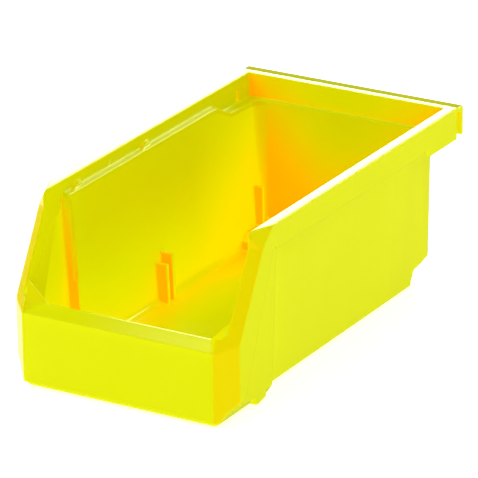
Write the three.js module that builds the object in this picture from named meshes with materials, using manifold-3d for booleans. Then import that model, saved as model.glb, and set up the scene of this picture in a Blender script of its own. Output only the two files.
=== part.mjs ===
// Stack-and-hang storage bin with a hopper front, moulded in polypropylene.
// Millimetres, +Z up. X is the width, the hopper mouth faces -Y, and the bin
// rests on the plane z = 0. The origin is the centre of its footprint.
// All y values below are measured back from the front face; the prism and block
// helpers move them to the origin. Cutting and clipping solids run well past the
// bin on their open sides, so extents such as -5, 60, 80 or 90 only mean "clear of it".
import * as THREE from 'three';
import { ConvexGeometry } from 'three/addons/geometries/ConvexGeometry.js';
import { mergeVertices } from 'three/addons/utils/BufferGeometryUtils.js';
import Module from 'manifold-3d';

// ---------------------------------------------------------------- dimensions
const WIDTH = 105;            // overall, over the rim
const HEIGHT = 76.2;          // overall, base to rim top
const LENGTH = 193.5;         // overall, front wall to hanger lip
const WALL = 2.1;
const FLOOR = 2.2;
const HALF = WIDTH / 2;
const Y_ORIGIN = LENGTH / 2;

// Rim
const RIM_INNER = 47.6;       // half width between the side rims' inner faces
const RIM_SKIN = 1.8;         // thickness of the rim's flange and band
const RIM_FRONT_Y = 35.6;     // where the level rim starts
const REAR_RIM_Y = 184.9;     // inner face of the rear rim
const RIM_END_Y = 188.2;      // rear end of the rim, where the hanger starts
const BAND_Z = 65.3;          // lower edge of the rim's outer band
const BAND_REAR_Z = 61.8;     // lower edge of the band beside the hanger

// Stacking ledge: high along the side walls, then down a ramp to the rear
const LEDGE_Z = 70.3;
const REAR_LEDGE_Z = 65.3;
const LEDGE_INNER = 45.3;     // half width between the ledges' inner edges
const LEDGE_SKIN = 2.0;
const UNDER_LEDGE_Z = LEDGE_Z - LEDGE_SKIN;
const UNDER_REAR_LEDGE_Z = REAR_LEDGE_Z - LEDGE_SKIN;
const RAMP_FRONT_Y = 153.5;
const RAMP_REAR_Y = 163;

// Front wall, lip and corner panels
const FRONT_HALF = 44.7;      // half width of the flat front wall
const FRONT_BOTTOM_Z = 2.1;   // lower edge of the front wall
const LIP_Z = 32.3;           // top of the front lip
const LIP_DEPTH = 9.9;
const LIP_INNER_Z = 34.6;     // the lip rises towards its inner edge
const LIP_HALF = FRONT_HALF - 0.4;
const CORNER = HALF - FRONT_HALF;   // width and depth of the 45 degree corner panels
const CORNER_TOP_Z = 34.9;    // where the corner panel turns into the slope
const CORNER_LOW_Z = 9.9;     // its outer lower corner

// Mouth edge and its return flange, as (y, z)
const SLOPE_TOP = [26.8, 68.9];     // outer end of the sloping mouth edge
const FLANGE_LOW = [12.0, 9.9];     // ends of the flange's free edge
const FLANGE_TOP = [35.2, BAND_Z];

// Main body
const STEP_Y = 39.2;          // where the cheeks step in to the main side walls
const PLAN_Z = 80;            // height of the body's upper plan, above the rim
const BODY_HALF = 47.4;       // half width at PLAN_Z
const REAR_HALF = 45.6;       // the same at the rear corners
const DRAFT = 0.905;          // width at z = 0 as a share of the width at PLAN_Z
const CORNER_RADIUS_HIGH = 9.5;     // rear corner radius at PLAN_Z
const CORNER_RADIUS_LOW = 4.0;      // and at z = 0
const BACK_Y = 185.6;         // outer face of the back wall
const HEEL_Y = 166.4;         // front end of the notches in the rear lower corners
const HEEL_X = 39;            // half width of the base between them

// ------------------------------------------------------------------- helpers
const wasm = await Module();
wasm.setup();
const GRID = 1024;            // snapping steps per millimetre
const snap = (value) => Math.round(value * GRID) / GRID;

// A closed three.js geometry as a manifold solid, with shared corners merged.
function solid(geometry) {
  const loose = geometry.index ? geometry.toNonIndexed() : geometry.clone();
  loose.deleteAttribute('normal');
  loose.deleteAttribute('uv');
  const points = loose.getAttribute('position');
  for (let i = 0; i < points.count; i++) {
    points.setXYZ(i, snap(points.getX(i)), snap(points.getY(i)), snap(points.getZ(i)));
  }
  const merged = mergeVertices(loose, 1e-5);
  return new wasm.Manifold(new wasm.Mesh({
    numProp: 3,
    vertProperties: new Float32Array(merged.getAttribute('position').array),
    triVerts: new Uint32Array(merged.index.array),
  }));
}

// An extrusion of an outline, wound counter-clockwise whichever way it is listed.
function extrude(points, depth) {
  let area = 0;
  points.forEach(([a, b], i) => {
    const [nextA, nextB] = points[(i + 1) % points.length];
    area += a * nextB - nextA * b;
  });
  const wound = area > 0 ? points : [...points].reverse();
  const shape = new THREE.Shape(wound.map(([a, b]) => new THREE.Vector2(a, b)));
  return new THREE.ExtrudeGeometry(shape, { depth, bevelEnabled: false });
}

// Prisms: a plan outline (x, y) raised in Z; a side outline (y, z) swept in X;
// a front outline (x, z) swept in Y.
const planGeometry = (points, z0, z1) =>
  extrude(points.map(([x, y]) => [x, y - Y_ORIGIN]), z1 - z0).translate(0, 0, z0);
const prismZ = (points, z0, z1) => solid(planGeometry(points, z0, z1));

function prismX(points, x0, x1) {
  const axes = new THREE.Matrix4().set(0, 0, 1, x0, 1, 0, 0, 0, 0, 1, 0, 0, 0, 0, 0, 1);
  return solid(extrude(points.map(([y, z]) => [y - Y_ORIGIN, z]), x1 - x0).applyMatrix4(axes));
}

function prismY(points, y0, y1) {
  const axes = new THREE.Matrix4()
    .set(0, 1, 0, 0, 0, 0, 1, y0 - Y_ORIGIN, 1, 0, 0, 0, 0, 0, 0, 1);
  return solid(extrude(points.map(([x, z]) => [z, x]), y1 - y0).applyMatrix4(axes));
}

function block([x0, x1], [y0, y1], [z0, z1]) {
  return solid(new THREE.BoxGeometry(x1 - x0, y1 - y0, z1 - z0)
    .translate((x0 + x1) / 2, (y0 + y1) / 2 - Y_ORIGIN, (z0 + z1) / 2));
}

// A large block whose near face lies on the plane through `point` with the
// outward normal `normal`: subtracting it trims everything beyond the plane.
function beyond([x, y, z], normal) {
  const size = 200;
  const unit = new THREE.Vector3(...normal).normalize();
  const turned = new THREE.Quaternion().setFromUnitVectors(new THREE.Vector3(0, 0, 1), unit);
  const centre = new THREE.Vector3(x, y - Y_ORIGIN, z).addScaledVector(unit, size / 2);
  return solid(new THREE.BoxGeometry(size, size, size)
    .applyQuaternion(turned)
    .translate(centre.x, centre.y, centre.z));
}

// The right half of an outline (x first), closed by its mirror image.
const bothHalves = (points) => [...points, ...points.map(([x, b]) => [-x, b]).reverse()];
const mirror = (part) => part.mirror([1, 0, 0]);
const cutBothSides = (part, tool) => part.subtract(tool).subtract(mirror(tool));

// Both sides from the right half, so that left and right match exactly.
function symmetric(part) {
  const half = part.intersect(block([0, 90], [-20, 220], [-20, 120]));
  return half.add(mirror(half));
}

// ---------------------------------------------------------------- main body
// Behind the cheeks. The side walls lean in towards the base, draw in slightly
// over their last 40 mm, and turn a round rear corner.
function bodyPlan(inset, draft, radius) {
  const wall = [
    [BODY_HALF, 20], [BODY_HALF, 145], [BODY_HALF - 0.4, 156], [BODY_HALF - 1.0, 166],
  ].map(([x, y]) => [x * draft - inset, y]);
  const centreX = REAR_HALF * draft - radius;
  const centreY = BACK_Y - radius;
  const arc = [0, 18, 36, 54, 72, 90].map((degrees) => {
    const angle = THREE.MathUtils.degToRad(degrees);
    return [
      centreX + (radius - inset) * Math.cos(angle),
      centreY + (radius - inset) * Math.sin(angle),
    ];
  });
  return bothHalves([...wall, ...arc]);
}

// The upper plan raised from z = 0, its bottom corners then moved to the lower plan.
function draftedBody(inset) {
  const low = bodyPlan(inset, DRAFT, CORNER_RADIUS_LOW);
  const high = bodyPlan(inset, 1, CORNER_RADIUS_HIGH);
  const geometry = planGeometry(high, 0, PLAN_Z);
  const points = geometry.getAttribute('position');
  for (let i = 0; i < points.count; i++) {
    if (points.getZ(i) > 1) continue;
    const corner = high.findIndex(([x, y]) =>
      Math.hypot(x - points.getX(i), y - Y_ORIGIN - points.getY(i)) < 1e-3);
    points.setXYZ(i, low[corner][0], low[corner][1] - Y_ORIGIN, 0);
  }
  return solid(geometry);
}

// Front view (x, z) with rounded lower corners; sideX is the half width just above them.
const bodySection = ({ baseZ, radius, sideX, topX }) => bothHalves([
  [sideX - radius, baseZ],
  [sideX - radius + radius * 0.5, baseZ + radius * 0.134],
  [sideX - radius + radius * 0.866, baseZ + radius * 0.5],
  [sideX, baseZ + radius],
  [topX, PLAN_Z],
]);

// Notch in the right rear lower corner, clear of the bin below when stacked.
// Behind it the base itself draws in. `wall` grows the notch for the inner volume.
function heelNotch(wall) {
  const side = [               // y, z
    [HEEL_Y - wall, -5], [HEEL_Y + 0.2 - wall, 4.8 + wall * 0.6],
    [169.6 - wall * 0.5, 7.4 + wall], [176.6, 7.8 + wall], [180, 8.7 + wall],
    [200, 11 + wall], [200, -5],
  ];
  const plan = [               // x, y
    [HEEL_X - wall, 172 - wall], [HEEL_X - 6 - wall, 186 - wall], [HEEL_X - 6 - wall, 210],
    [60, 210], [60, 172 - wall],
  ];
  return prismX(side, HEEL_X - wall, 60).add(prismZ(plan, -5, 6.2 + wall));
}

function bodyVolume({ inset, frontY, section, side }) {
  const body = draftedBody(inset)
    .intersect(prismY(bodySection(section), frontY, 200))
    .intersect(prismX(side, -60, 60));
  return symmetric(cutBothSides(body, heelNotch(inset)));
}

const bodyOuter = bodyVolume({
  inset: 0,
  frontY: 20,
  section: { baseZ: 0, radius: 5, sideX: 43.9, topX: 48.6 },
  side: [[20, 0], [181, 0], [184, 1.2], [190, 6], [190, 80], [20, 80]],
});
const bodyInner = bodyVolume({
  inset: WALL,
  frontY: 10,
  section: { baseZ: FLOOR, radius: 4, sideX: 41.8, topX: 46.5 },
  side: [[10, FLOOR], [178.6, FLOOR], [181.6, 3.8], [188, 10], [188, 80], [10, 80]],
});

// ---------------------------------------------------------------- front part
// Flat front wall, 45 degree corner panels and full-width cheeks that step in
// squarely to the main side walls near STEP_Y.
const cheekSection = (inset) => bothHalves([   // x, z
  [43.4 - inset, inset * 1.05], [45.6 - inset * 0.8, 1.3 + inset * 0.8],
  [48.1 - inset * 0.9, 5.0 + inset * 0.5], [51.2 - inset, 68], [51.2 - inset, 80],
]);
const frontPlan = (inset) => bothHalves([      // x, y
  [FRONT_HALF - inset * 0.414, inset], [HALF - inset, CORNER + inset * 0.414],
  [HALF - inset, 39.8 - inset], [44 - inset, 41 - inset],
]);

function frontVolume({ inset, startY, startZ, side }) {
  return symmetric(prismZ(frontPlan(inset), startZ, 80)
    .intersect(prismY(cheekSection(inset), startY, 60))
    .intersect(prismX(side, -60, 60)));
}

const frontOuter = frontVolume({
  inset: 0,
  startY: -1,
  startZ: -1,
  side: [[0, FRONT_BOTTOM_Z], [1.6, FRONT_BOTTOM_Z], [2.7, 0], [60, 0], [60, 80], [0, 80]],
});
const frontInner = frontVolume({
  inset: WALL,
  startY: 0,
  startZ: 0,
  side: [[0, 9.5], [WALL, 9.5], [4.5, 4.6], [9, FLOOR], [60, FLOOR], [60, 80], [0, 80]],
});

// --------------------------------------------------------------- mouth cuts
// On each side the sloping mouth edge leans back and turns outwards in plan,
// standing upright above SLOPE_TOP.
function makeSideCut() {
  const [topY, topZ] = SLOPE_TOP;
  const rise = topZ - CORNER_TOP_Z;
  const run = topY - CORNER;
  // Plan direction of the slope, from its outer to its inner edge
  const turnX = FRONT_HALF - HALF;
  const turnY = -(CORNER - (CORNER_TOP_Z - LIP_Z) * run / rise);
  const slopeNormal = new THREE.Vector3(0, run, rise)
    .cross(new THREE.Vector3(turnX, turnY, 0))
    .toArray();
  const slope = beyond([HALF, CORNER, CORNER_TOP_Z], slopeNormal)
    .intersect(block([0, 80], [-40, 80], [LIP_Z - 6, topZ]));
  const upright = beyond([HALF, topY, topZ], [-turnY, turnX, 0])
    .intersect(block([0, 80], [-40, 80], [topZ, 120]));
  const outerCorner = beyond([HALF, topY, topZ], [83.2, -35.8, 43.1])
    .intersect(block([30, 80], [10, 60], [40, 120]));
  return slope.add(upright).add(outerCorner);
}
const sideCut = makeSideCut();
const lipCut = block([-44.4, 44.4], [-10, 60], [LIP_Z, 120]);

// Cheeks, front wall and front floor as one skin, cut to the mouth.
const frontSkin = cutBothSides(
  frontOuter.subtract(frontInner)
    .subtract(block([-60, 60], [STEP_Y, 80], [UNDER_LEDGE_Z, 90]))
    .subtract(bodyInner.intersect(block([-60, 60], [36, 80], [-5, 90])))
    .subtract(lipCut),
  sideCut,
);

// Everything forward of this outline belongs to the right mouth flange.
const flangeZone = prismX([
  [-5, -5], [FLANGE_LOW[0] - 6.23, -5], FLANGE_LOW, FLANGE_TOP,
  [RIM_FRONT_Y, FLANGE_TOP[1]], [RIM_FRONT_Y, 90], [-5, 90],
], LIP_HALF, 70);

// ----------------------------------------------------------------------- rim
// Tapered web under the rim's top flange, between its inner face and band.
const rimShoulder = (y0, y1) => prismY([
  [RIM_INNER, HEIGHT - 1], [RIM_INNER, 71], [48.9, 63.5], [50.9, 63.5], [50.9, HEIGHT - 1],
], y0, y1);

// Inner face, top flange and outer band, as one channel that opens downwards,
// with a shallow slot in the flange.
function makeSideRim() {
  const innerFace = [          // y, z
    [RIM_FRONT_Y, LEDGE_Z], [RAMP_FRONT_Y, LEDGE_Z], [RAMP_REAR_Y, REAR_LEDGE_Z],
    [REAR_RIM_Y, REAR_LEDGE_Z], [REAR_RIM_Y, HEIGHT], [RIM_FRONT_Y, HEIGHT],
  ];
  const band = [               // y, z
    [RIM_FRONT_Y, BAND_Z + 1.5], [38.6, BAND_Z], [161.5, BAND_Z], [164.5, BAND_REAR_Z],
    [RIM_END_Y - 0.4, BAND_REAR_Z], [RIM_END_Y, BAND_REAR_Z + 1.2], [RIM_END_Y, HEIGHT],
    [RIM_FRONT_Y, HEIGHT],
  ];
  const flange = block([RIM_INNER, HALF], [RIM_FRONT_Y, REAR_RIM_Y], [HEIGHT - RIM_SKIN, HEIGHT]);
  const slot = block([RIM_INNER + 0.9, RIM_INNER + 1.5], [82, 92.3], [HEIGHT - 0.6, HEIGHT + 1]);
  return prismX(innerFace, RIM_INNER, RIM_INNER + RIM_SKIN)
    .add(rimShoulder(RIM_FRONT_Y, 36.8))
    .add(prismX(band, HALF - RIM_SKIN, HALF))
    .add(flange)
    .subtract(slot);
}

// Small recess in the side rim's inner face, near the rear.
const rimNotch = () =>
  block([RIM_INNER - 1, RIM_INNER + 1.1], [174.3, 177.3], [BAND_Z + 0.6, BAND_Z + 5.6]);

// Inner face and a top flange that reaches back to the hanger.
function makeRearRim() {
  const span = [-HALF + RIM_SKIN, HALF - RIM_SKIN];
  return block(span, [REAR_RIM_Y, REAR_RIM_Y + RIM_SKIN], [REAR_LEDGE_Z, HEIGHT])
    .add(block(span, [REAR_RIM_Y, RIM_END_Y], [HEIGHT - RIM_SKIN, HEIGHT]));
}

const makeHanger = () => prismX([
  [RIM_END_Y, HEIGHT - 2.2], [191.3, HEIGHT - 2.6], [191.3, 63.6], [192, 62.8], [192.9, 62.8],
  [LENGTH, 63.6], [LENGTH, HEIGHT - 1.0], [LENGTH - 0.8, HEIGHT - 0.2],
  [RIM_END_Y, HEIGHT - 0.2],
], -HALF, HALF);

// A shelf between the main wall and the rim's inner face.
const makeSideLedge = () => prismX([
  [37.6, UNDER_LEDGE_Z], [RAMP_FRONT_Y, UNDER_LEDGE_Z], [RAMP_REAR_Y, UNDER_REAR_LEDGE_Z],
  [REAR_RIM_Y, UNDER_REAR_LEDGE_Z], [REAR_RIM_Y, REAR_LEDGE_Z],
  [RAMP_REAR_Y, REAR_LEDGE_Z], [RAMP_FRONT_Y, LEDGE_Z], [37.6, LEDGE_Z],
], 38, RIM_INNER + RIM_SKIN).subtract(bodyInner);

// ----------------------------------------------------------------- tub shell
// Floor, side walls, back wall and heel as one continuous skin, up to the ledges,
// and the front skin behind the mouth flanges.
function makeTubShell(sideRim, mouthFlange) {
  const underLedge = prismX([
    [STEP_Y, -5], [190, -5], [190, UNDER_REAR_LEDGE_Z], [RAMP_REAR_Y, UNDER_REAR_LEDGE_Z],
    [RAMP_FRONT_Y, UNDER_LEDGE_Z], [STEP_Y, UNDER_LEDGE_Z],
  ], -60, 60);
  const backLedge = block([-38, 38], [170, 190], [50, REAR_LEDGE_Z]);
  const bodyShell = bodyOuter.subtract(bodyInner)
    .intersect(underLedge.add(backLedge))
    .subtract(block([-60, 60], [0, STEP_Y], [-5, 90]));
  const frontShell = frontSkin
    .subtract(flangeZone.add(mirror(flangeZone)))
    .subtract(block([-60, 60], [RIM_FRONT_Y, 60], [UNDER_LEDGE_Z, 90]));
  const lipSeat = block([-60, 60], [-5, 9], [LIP_Z - 2, LIP_Z + 5])
    .intersect(block([-LIP_HALF, LIP_HALF], [-5, 20], [0, 60]));
  const shell = cutBothSides(bodyShell.add(frontShell), sideRim);
  return cutBothSides(shell, mouthFlange).subtract(lipSeat);
}

// --------------------------------------------------------------- mouth flange
// Right-hand flange: a hull outside the cheek, out to the full width and hollow
// behind, with the cheek skin and the front end of the rim.
function makeMouthFlange() {
  const side = [               // y, z
    [0, 0], [FLANGE_LOW[0] - 4.15, 0], FLANGE_LOW, FLANGE_TOP,
    [RIM_FRONT_Y, 66], [RIM_FRONT_Y, 80], [0, 80],
  ];
  const plan = [               // x, y
    [40, 0], [FRONT_HALF, 0], [HALF, CORNER], [HALF, 60], [40, 60],
  ];
  const lowerTrim = [          // x, z: below the corner panel's slanting lower edge
    [FRONT_HALF, FRONT_BOTTOM_Z], [HALF, CORNER_LOW_Z], [HALF + 10, CORNER_LOW_Z + 10],
    [HALF + 10, -10], [FRONT_HALF - FRONT_BOTTOM_Z - 10, -10],
  ];
  const cavity = [             // y, z
    [10.1, 0], [FLANGE_LOW[0] + 30, 0], [FLANGE_TOP[0] + 30, 62.5],
    [31.2, 62.5], [27.2, 60], [11.6, 36], [10.1, 30],
  ];
  const hull = prismX(side, 44, HALF)
    .intersect(prismZ(plan, 0, 80))
    .subtract(prismY(lowerTrim, -10, 80));
  // Inside the corner panels the flange leaves the bin's hollow clear.
  const hollow = frontInner.intersect(
    block([-60, 60], [-5, 80], [-5, LIP_Z - 2])
      .add(block([-RIM_INNER, RIM_INNER], [-5, 80], [LIP_Z - 3, 90])),
  );
  return hull
    .subtract(block([0, RIM_INNER], [LIP_DEPTH, 80], [LIP_Z, 90]))
    .subtract(hollow)
    .subtract(prismX(cavity, 44, HALF - RIM_SKIN))
    .add(frontSkin.intersect(flangeZone))
    .add(block([RIM_INNER, HALF], [10, RIM_FRONT_Y], [69.4, HEIGHT]))
    .add(rimShoulder(20, RIM_FRONT_Y))
    .intersect(flangeZone)
    .subtract(block([0, 80], [-10, 80], [HEIGHT, 120]))
    .subtract(sideCut);
}

// ----------------------------------------------------------------------- lip
function makeFrontLip(mouthFlange, tubShell) {
  const profile = [            // y, z
    [0, LIP_Z - 2], [0, LIP_Z], [LIP_DEPTH - 0.7, LIP_INNER_Z - 0.15],
    [LIP_DEPTH, LIP_INNER_Z - 0.6], [LIP_DEPTH, LIP_INNER_Z - 2.4], [2, LIP_Z - 2],
  ];
  // Gusset: the lip turns up into the inner edge of the sloping flange.
  const gussetCorners = [      // x, y, z
    [LIP_HALF, 0.4, LIP_Z], [38.6, LIP_DEPTH, LIP_INNER_Z],
    [RIM_INNER, 10, 43.5], [RIM_INNER, 3, LIP_Z + 0.8],
    [LIP_HALF, 0.4, LIP_Z - 1.6], [38.6, LIP_DEPTH, LIP_INNER_Z - 2],
    [RIM_INNER, 10, LIP_Z - 1.6], [RIM_INNER, 3, LIP_Z - 1.6],
  ];
  const gusset = solid(new ConvexGeometry(
    gussetCorners.map(([x, y, z]) => new THREE.Vector3(x, y - Y_ORIGIN, z)),
  ));
  const lip = prismX(profile, -50, 50)
    .intersect(frontOuter)
    .intersect(block([-47.2, 47.2], [-1, 20.6], [LIP_Z - 3, 60]))
    .add(gusset)
    .add(mirror(gusset));
  return symmetric(cutBothSides(cutBothSides(lip, sideCut), mouthFlange).subtract(tubShell));
}

// --------------------------------------------------------------- small features
// Anti-slide stop: a wedge on the side ledge, its top sloping.
function makeStop(y) {
  const plan = [
    [LEDGE_INNER + 0.02, y], [RIM_INNER, y + 8.6],
    [RIM_INNER, y + 11.5], [LEDGE_INNER + 0.9, y + 10.6],
  ];
  return prismZ(plan, LEDGE_Z, LEDGE_Z + 1.9)
    .subtract(beyond([LEDGE_INNER, y + 3, LEDGE_Z + 0.4], [0.25, -0.32, 1]));
}

// Front foot: a hook that sits ahead of the lower bin's rim when stacked.
const makeFoot = () => prismX([
  [27.3, 1.8], [28.0, 0.5], [29.2, 0], [36.0, 1.2], [36.3, 8], [26.4, 8], [26.6, 4.6],
], 44.6, 47.7).subtract(frontOuter);

// Upright rib on the inside of the side wall, rising from within the floor.
function ribPlate(y, thickness, innerX, topZ) {
  const bottomZ = 0.4;
  const side = [[y, bottomZ], [y + thickness, bottomZ], [y + thickness, topZ], [y, topZ]];
  return prismX(side, innerX, 46);
}

// Divider guide: two of these on each side wall leave a slot between them.
function makeDividerRib(y, topZ) {
  const section = [            // x, z
    [35.6, 0], [36.4, topZ], [36.9, topZ + 1], [60, topZ + 1], [60, 0],
  ];
  return ribPlate(y, 2.2, 35.4, topZ)
    .intersect(prismY(section, y - 1, y + 4))
    .intersect(bodyInner);
}

const makeCornerRib = () => ribPlate(176.4, 1.8, 36.3, 28).intersect(bodyInner);

// ----------------------------------------------------------------------- scene
const plastic = () => new THREE.MeshStandardMaterial({
  color: 0xf2dc00,             // yellow
  roughness: 0.38,
  metalness: 0,
});
const bin = new THREE.Group();
bin.name = 'storage_bin';

function place(name, part) {
  const { vertProperties, triVerts } = part.getMesh();
  const geometry = new THREE.BufferGeometry();
  const positions = new THREE.BufferAttribute(new Float32Array(vertProperties), 3);
  geometry.setAttribute('position', positions);
  geometry.setIndex(new THREE.BufferAttribute(new Uint32Array(triVerts), 1));
  geometry.computeVertexNormals();
  const mesh = new THREE.Mesh(geometry, plastic());
  mesh.name = name;
  bin.add(mesh);
}

// A right-hand (+X) part and its mirror image.
function placePair(name, part) {
  place(`${name}_right`, part);
  place(`${name}_left`, mirror(part));
}

const sideRim = makeSideRim();
const mouthFlange = makeMouthFlange();
const tubShell = makeTubShell(sideRim, mouthFlange);

place('tub_shell', tubShell);
place('front_lip', makeFrontLip(mouthFlange, tubShell));
placePair('mouth_flange', mouthFlange);
placePair('side_rim', sideRim.subtract(rimNotch()));
place('rear_rim', makeRearRim());
place('hanger_lip', makeHanger());
placePair('stacking_ledge', makeSideLedge());
placePair('antislide_stop_front', makeStop(38.8));
placePair('antislide_stop_middle', makeStop(91.2));
placePair('front_foot', makeFoot());
placePair('divider_rib_front', makeDividerRib(97, 20));
placePair('divider_rib_rear', makeDividerRib(101.6, 23.4));
placePair('corner_rib', makeCornerRib());

export default bin;
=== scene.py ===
"""A yellow moulded polypropylene tub with ribs, rims, a front lip and mouth flanges.

X is across, -Y is the front, +Z is up; the floor lies just under z = 0. All CAD pieces are
fused into one continuous rounded skin, which is then cut back into the named pieces.
"""
import math

import bpy
import bmesh
from mathutils import Matrix, Vector
from mathutils.bvhtree import BVHTree


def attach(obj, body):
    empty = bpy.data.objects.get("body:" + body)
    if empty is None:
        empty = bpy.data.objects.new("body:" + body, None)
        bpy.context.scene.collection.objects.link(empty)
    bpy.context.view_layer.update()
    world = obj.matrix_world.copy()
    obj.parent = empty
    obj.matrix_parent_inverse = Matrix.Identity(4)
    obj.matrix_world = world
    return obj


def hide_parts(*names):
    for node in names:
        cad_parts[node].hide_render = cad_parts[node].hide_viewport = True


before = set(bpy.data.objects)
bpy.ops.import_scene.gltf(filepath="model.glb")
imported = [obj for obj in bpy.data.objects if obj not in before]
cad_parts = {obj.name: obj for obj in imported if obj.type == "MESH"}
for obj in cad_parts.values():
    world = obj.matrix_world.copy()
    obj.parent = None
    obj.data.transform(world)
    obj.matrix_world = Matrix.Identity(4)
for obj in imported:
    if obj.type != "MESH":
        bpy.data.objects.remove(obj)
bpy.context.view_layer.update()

# ---------------------------------------------------------------- meshes
# Working meshes are in millimetres, so that tolerances are comfortable.
MM = 1000.0                             # millimetres in a metre
WELD = 1e-4                             # CAD vertices closer than this are merged
SKIN_VOXEL = 0.42
SKIN_SMOOTHING = 4                      # smoothing steps that round the skin's edges
SKIN_KEPT = 0.30                        # share of the skin's faces kept after thinning
REGION_VOXEL = 0.5                      # the solids that cut the skin into pieces
REGION_SMOOTHING = 1
SEAM = 0.30                             # how far each cutting solid reaches past its piece


def link_object(name, data):
    made = bpy.data.objects.new(name, data)
    bpy.context.scene.collection.objects.link(made)
    return made


def object_from_bmesh(name, bm):
    """A new object from bm, which is freed."""
    mesh = bpy.data.meshes.new(name)
    bm.to_mesh(mesh)
    bm.free()
    return link_object(name, mesh)


def evaluated_mesh(source):
    """A new mesh of source with its modifiers applied."""
    depsgraph = bpy.context.evaluated_depsgraph_get()
    return bpy.data.meshes.new_from_object(source.evaluated_get(depsgraph))


def applied(source, name):
    """A new object with source's modifiers applied; source is removed."""
    mesh = evaluated_mesh(source)
    mesh.name = name
    made = link_object(name, mesh)
    bpy.data.objects.remove(source)
    return made


def cad_piece(name, node):
    """One CAD piece in millimetres, with its doubled vertices merged."""
    bm = bmesh.new()
    bm.from_mesh(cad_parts[node].data)
    for vert in bm.verts:
        vert.co = vert.co * MM
    bmesh.ops.remove_doubles(bm, verts=bm.verts, dist=WELD)
    return object_from_bmesh(name, bm)


def joined(name, parts):
    """One object made of all parts, which are removed."""
    bm = bmesh.new()
    for part in parts:
        bm.from_mesh(part.data)
    for part in parts:
        bpy.data.objects.remove(part)
    return object_from_bmesh(name, bm)


def moulded(source, voxel, steps, grow=0.0):
    """One continuous closed skin round source, with its edges rounded."""
    remesh = source.modifiers.new("skin", "REMESH")
    remesh.mode = "VOXEL"
    remesh.voxel_size = voxel
    smooth = source.modifiers.new("round", "SMOOTH")
    smooth.factor = 0.5
    smooth.iterations = steps
    if grow:
        displace = source.modifiers.new("grow", "DISPLACE")
        displace.mid_level = 0.0
        displace.strength = grow
    return applied(source, source.name + "_skin")


def boolean(source, cutter, operation, name):
    """A new object from a boolean; source is left as it was."""
    modifier = source.modifiers.new("b", "BOOLEAN")
    modifier.operation = operation
    modifier.solver = "MANIFOLD"
    modifier.object = cutter
    mesh = evaluated_mesh(source)
    source.modifiers.remove(modifier)
    return link_object(name, mesh)


def whole_skin(nodes):
    """The rounded skin round all the pieces together, thinned out."""
    parts = [cad_piece("w_" + node, node) for node in nodes]
    skin = moulded(joined("whole", parts), SKIN_VOXEL, SKIN_SMOOTHING)
    skin.modifiers.new("thin", "DECIMATE").ratio = SKIN_KEPT
    return applied(skin, "whole")


def cut_pieces(whole, nodes):
    """Cut each node's piece out of whole; what is left is the tub shell."""
    pieces = {}
    for node in nodes:
        if node == "tub_shell":
            continue
        region = moulded(cad_piece("r_" + node, node), REGION_VOXEL, REGION_SMOOTHING, SEAM)
        pieces[node] = boolean(whole, region, "INTERSECT", "moulded_" + node)
        rest = boolean(whole, region, "DIFFERENCE", "whole")
        bpy.data.objects.remove(region)
        bpy.data.objects.remove(whole)
        whole = rest
    whole.name = "moulded_tub_shell"
    pieces["tub_shell"] = whole
    return pieces


def skin_normals(mesh, skin, tree):
    """The whole skin's normal at each vertex of mesh, so pieces meet without a visible seam."""
    normals = []
    for vert in mesh.vertices:
        nearest, _, face, _ = tree.find_nearest(vert.co)
        total = 0.0
        normal = Vector((0.0, 0.0, 0.0))
        for corner in skin.faces[face].verts:
            weight = 1.0 / ((corner.co - nearest).length + 1e-4)
            normal += corner.normal * weight
            total += weight
        normals.append((normal / total).normalized())
    return normals


node_names = sorted(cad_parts)
whole = whole_skin(node_names)
skin = bmesh.new()
skin.from_mesh(whole.data)
skin.normal_update()
skin.faces.ensure_lookup_table()
skin_tree = BVHTree.FromBMesh(skin)
pieces = cut_pieces(whole, node_names)

# ---------------------------------------------------------------- material
FRONT_SHADE_GAIN = 1.55     # painted shade on inside faces that look to the front
FLOOR_SHADE_GAIN = 1.10     # painted shade on inside faces that look up
OTHER_SHADE_GAIN = 0.40     # painted shade on all other inside faces
PANEL_SHADE = 0.42     # painted shade, warmer, on faces that look to the front corners
PANEL_FACING = (0.71, -0.70, 0.18)


def add_node(tree, kind, inputs, **settings):
    """A shader node; each input is given as a socket to link or a value to set."""
    made = tree.nodes.new("ShaderNode" + kind)
    for name, value in settings.items():
        setattr(made, name, value)
    for socket, value in inputs.items():
        if isinstance(value, bpy.types.NodeSocket):
            tree.links.new(value, made.inputs[socket])
        else:
            made.inputs[socket].default_value = value
    return made


def remap(tree, value, from_min=0.0, from_max=1.0, to_min=0.0, to_max=1.0):
    inputs = {"Value": value, "From Min": from_min, "From Max": from_max,
              "To Min": to_min, "To Max": to_max}
    return add_node(tree, "MapRange", inputs).outputs[0]


def calc(tree, operation, first, second):
    """Clamped arithmetic on two sockets or numbers."""
    inputs = {0: first, 1: second}
    return add_node(tree, "Math", inputs, operation=operation, use_clamp=True).outputs[0]


def noise(tree, coords, scale, detail):
    inputs = {"Vector": coords.outputs["Object"], "Scale": scale, "Detail": detail}
    return add_node(tree, "TexNoise", inputs).outputs["Fac"]


def openness(tree, distance, samples, local):
    """Ambient occlusion: 1 in the open, falling towards 0 where enclosed."""
    made = add_node(tree, "AmbientOcclusion", {"Distance": distance},
                    samples=samples, only_local=local)
    return made.outputs["AO"]


def mix_colour(tree, factor, painted_shade, light):
    """From the colour of the deepest painted shade at factor 0 to the plain colour at 1."""
    inputs = {"A": painted_shade, "B": light, "Factor": factor}
    return add_node(tree, "Mix", inputs, data_type="RGBA").outputs["Result"]


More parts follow.
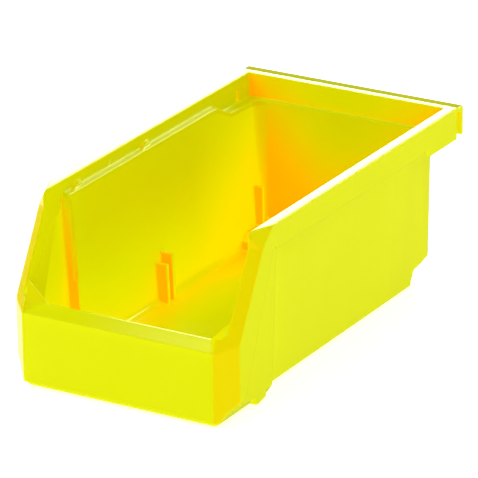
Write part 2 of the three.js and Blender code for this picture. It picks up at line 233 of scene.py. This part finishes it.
def facing(tree, coords, direction, start):
    """How much the surface, mirrored to +X, faces direction: 0 at cosine start, up to 1."""
    split = add_node(tree, "SeparateXYZ", {0: coords.outputs["Normal"]})
    across = add_node(tree, "Math", {0: split.outputs["X"]}, operation="ABSOLUTE")
    mirrored = add_node(tree, "CombineXYZ", {
        0: across.outputs[0], 1: split.outputs["Y"], 2: split.outputs["Z"]})
    cosine = add_node(tree, "VectorMath",
                      {0: mirrored.outputs[0], 1: Vector(direction).normalized()},
                      operation="DOT_PRODUCT")
    return remap(tree, cosine.outputs["Value"], from_min=start)


def unshaded_share(tree, coords, cavity, crevice):
    """0 where the painted shade is deepest and warmest, 1 where no shade is painted."""
    # Painted shade: deeper where the cavity is enclosed, most on faces that look to the front
    # or up.
    inside = calc(tree, "SUBTRACT", 1.0, remap(tree, cavity, from_min=0.30, from_max=0.78))
    # The painted glow's ramp is made by plastic(); this one paints shade into the fine contact
    # lines.
    crevice_open = remap(tree, crevice, from_min=0.35, from_max=0.85)
    front = facing(tree, coords, (0, -1, 0), start=0.35)
    # The painted shade on front-facing walls starts sooner.
    wide = remap(tree, cavity, from_min=0.35, from_max=0.93, to_min=1.0, to_max=0.0)
    front_shade = calc(tree, "MULTIPLY", calc(tree, "MULTIPLY", wide, FRONT_SHADE_GAIN), front)
    floor_shade = calc(tree, "MULTIPLY", calc(tree, "MULTIPLY", inside, FLOOR_SHADE_GAIN),
                      facing(tree, coords, (0, 0, 1), start=0.5))
    other_shade = calc(tree, "MAXIMUM", calc(tree, "MULTIPLY", inside, OTHER_SHADE_GAIN), floor_shade)
    # Painted shade on faces that look to the front corners.
    panel_shade = calc(tree, "MULTIPLY", facing(tree, coords, PANEL_FACING, start=0.80), PANEL_SHADE)
    painted_shade = calc(tree, "MAXIMUM", calc(tree, "MAXIMUM", front_shade, other_shade), panel_shade)
    # Painted shade in crevices and along contact lines.
    painted_shade = calc(tree, "MAXIMUM", painted_shade, calc(tree, "SUBTRACT", 1.0, crevice_open))
    return calc(tree, "SUBTRACT", 1.0, painted_shade)


def plastic(name, local):
    """Moulded polypropylene, with painted shade and a painted glow. local: only the piece
    itself casts the painted shade on it.
    """
    material = bpy.data.materials.new(name)
    material.use_nodes = True
    tree = material.node_tree
    tree.nodes.clear()
    coords = add_node(tree, "TexCoord", {})

    # Colour: a slow drift from the moulding flow, with painted shade, deeper and warmer, inside
    # the cavity.
    flow = remap(tree, noise(tree, coords, scale=22.0, detail=3.0), to_min=0.97, to_max=1.03)
    cavity = openness(tree, distance=0.055, samples=8, local=local)
    crevice = openness(tree, distance=0.005, samples=6, local=local)
    light = unshaded_share(tree, coords, cavity, crevice)
    # The colour runs from the painted shade's orange to the plain yellow.
    tint = mix_colour(tree, light, painted_shade=(1.0, 0.50, 0.0, 1), light=(0.80, 0.84, 0.0, 1))
    colour = add_node(tree, "VectorMath", {0: tint, "Scale": flow}, operation="SCALE")

    # Fine mould texture, and handling wear in the gloss.
    grain = noise(tree, coords, scale=1800.0, detail=2.0)
    wear = noise(tree, coords, scale=60.0, detail=5.0)
    roughness = remap(tree, wear, to_min=0.20, to_max=0.30)
    bump = add_node(tree, "Bump", {"Strength": 0.10, "Distance": 0.00004, "Height": grain})

    # Painted glow: the surface gives off warm light of its own where the cavity is enclosed; it
    # reaches further out than the painted shade.
    glow_openness = remap(tree, cavity, from_min=0.25, from_max=1.05)
    painted_glow = remap(tree, glow_openness, to_min=0.50, to_max=0.0)
    painted_glow_colour = mix_colour(tree, light, painted_shade=(1.0, 0.26, 0.0, 1), light=(0.78, 0.98, 0.0, 1))

    surface = add_node(tree, "BsdfPrincipled", {
        "Base Color": colour.outputs[0],
        "Roughness": roughness,
        "Normal": bump.outputs[0],
        "Emission Color": painted_glow_colour,
        "Emission Strength": painted_glow,
        "IOR": 1.49,
        "Specular Tint": (1.0, 0.95, 0.05, 1),
    })
    add_node(tree, "OutputMaterial", {0: surface.outputs[0]})
    return material


# Two copies of one material: on the inside pieces, neighbouring pieces deepen the painted shade
# and the painted glow too.
open_plastic = plastic("yellow_polypropylene", local=True)
inside_plastic = plastic("yellow_polypropylene_inside", local=False)

# ---------------------------------------------------------------- pieces
INSIDE = ("divider_rib", "corner_rib", "rear_rim", "antislide_stop")

for node, piece in pieces.items():
    mesh = piece.data
    normals = skin_normals(mesh, skin, skin_tree)
    mesh.transform(Matrix.Scale(1.0 / MM, 4))
    mesh.materials.clear()
    mesh.materials.append(inside_plastic if node.startswith(INSIDE) else open_plastic)
    for polygon in mesh.polygons:
        polygon.use_smooth = True
    mesh.update()
    mesh.normals_split_custom_set_from_vertices(normals)
    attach(piece, "root")
    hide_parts(node)


# ---------------------------------------------------------------- floor and world
def white_floor():
    bm = bmesh.new()
    bmesh.ops.create_grid(bm, x_segments=8, y_segments=8, size=4.0)
    made = object_from_bmesh("floor", bm)
    made.location.z = -0.0002
    material = bpy.data.materials.new("floor_white")
    material.use_nodes = True
    inputs = material.node_tree.nodes["Principled BSDF"].inputs
    inputs["Base Color"].default_value = (0.93, 0.93, 0.93, 1)
    inputs["Roughness"].default_value = 0.9
    inputs["Specular IOR Level"].default_value = 0.1
    inputs["Emission Color"].default_value = (1, 1, 1, 1)
    inputs["Emission Strength"].default_value = 0.6
    made.data.materials.append(material)
    made.visible_glossy = False
    return made


def studio_world():
    """White to the camera, and dimmer in reflections than as fill."""
    world = bpy.data.worlds.new("studio")
    bpy.context.scene.world = world
    world.use_nodes = True
    tree = world.node_tree
    background = tree.nodes["Background"]
    background.inputs["Color"].default_value = (1, 1, 1, 1)
    rays = add_node(tree, "LightPath", {})
    unseen = remap(tree, rays.outputs["Is Glossy Ray"], to_min=0.50, to_max=0.13)
    strength = remap(tree, rays.outputs["Is Camera Ray"], to_min=unseen, to_max=1.0)
    tree.links.new(strength, background.inputs["Strength"])


floor = white_floor()
studio_world()


# ---------------------------------------------------------------- lights
def around(azimuth, elevation, distance):
    """A place round the origin; degrees, azimuth from the front (-Y) towards +X."""
    a = math.radians(azimuth)
    e = math.radians(elevation)
    return (distance * math.sin(a) * math.cos(e),
            -distance * math.cos(a) * math.cos(e),
            distance * math.sin(e))


def softbox(name, place, aim_height, size, power):
    """A round area light aimed at a point on the Z axis, hidden from the camera."""
    light = bpy.data.lights.new(name, "AREA")
    light.shape = "DISK"
    light.size = size
    light.energy = power
    made = link_object(name, light)
    made.location = place
    aim = Vector((0, 0, aim_height)) - Vector(place)
    made.rotation_euler = aim.to_track_quat("-Z", "Y").to_euler()
    made.visible_camera = False
    return made


# Front left.
softbox("left_box", around(-50, 48, 1.4), aim_height=0.03, size=0.8, power=2.9)
# Right, as diffuse light only.
right_box = softbox("right_box", around(92, 50, 1.4), aim_height=0.03, size=0.9, power=3.4)
right_box.visible_glossy = False
# Behind left, for the rim's sheen.
back_box = softbox("back_box", around(211, 23, 1.6), aim_height=0.06, size=0.9, power=16)
# Behind right, for edge highlights only.
edge_box = softbox("edge_box", around(155, 29, 1.6), aim_height=0.06, size=0.6, power=14)
edge_box.visible_diffuse = False
# Low behind left, for sheen on the left corner panels.
softbox("kicker", (-1.25, 0.76, -0.58), aim_height=0.03, size=1.2, power=4.5)

# back_box lights only these, which keeps the back and the left side from burning out.
LIT_FROM_BEHIND = ("side_rim", "rear_rim", "stacking", "antislide", "front_lip", "mouth_flange")
receivers = bpy.data.collections.new("lit_from_behind")
for node, piece in pieces.items():
    if node.startswith(LIT_FROM_BEHIND):
        receivers.objects.link(piece)
receivers.objects.link(floor)
back_box.light_linking.receiver_collection = receivers

# ---------------------------------------------------------------- camera
CAMERA_AZIMUTH = 31.3                     # degrees
CAMERA_ELEVATION = 21.94
CAMERA_ROLL = math.radians(-1.01)
CAMERA_DISTANCE = 1.86319
CAMERA_TARGET = Vector((0.0, -0.01459, 0.0350))

backward = Vector(around(CAMERA_AZIMUTH, CAMERA_ELEVATION, 1.0))
level_right = (-backward).cross(Vector((0, 0, 1))).normalized()
level_up = level_right.cross(-backward)
right = level_right * math.cos(CAMERA_ROLL) + level_up * math.sin(CAMERA_ROLL)
up = -level_right * math.sin(CAMERA_ROLL) + level_up * math.cos(CAMERA_ROLL)
placement = Matrix((right, up, backward)).transposed().to_4x4()
placement.translation = CAMERA_TARGET + backward * CAMERA_DISTANCE

lens = bpy.data.cameras.new("camera")
lens.sensor_width = 36.0
lens.lens = 341.569205
lens.shift_x = 0.03512552
lens.shift_y = 0.04200837
camera = link_object("camera", lens)
camera.matrix_world = placement
bpy.context.scene.camera = camera
bpy.context.scene.view_settings.view_transform = "Standard"

bpy.context.view_layer.update()
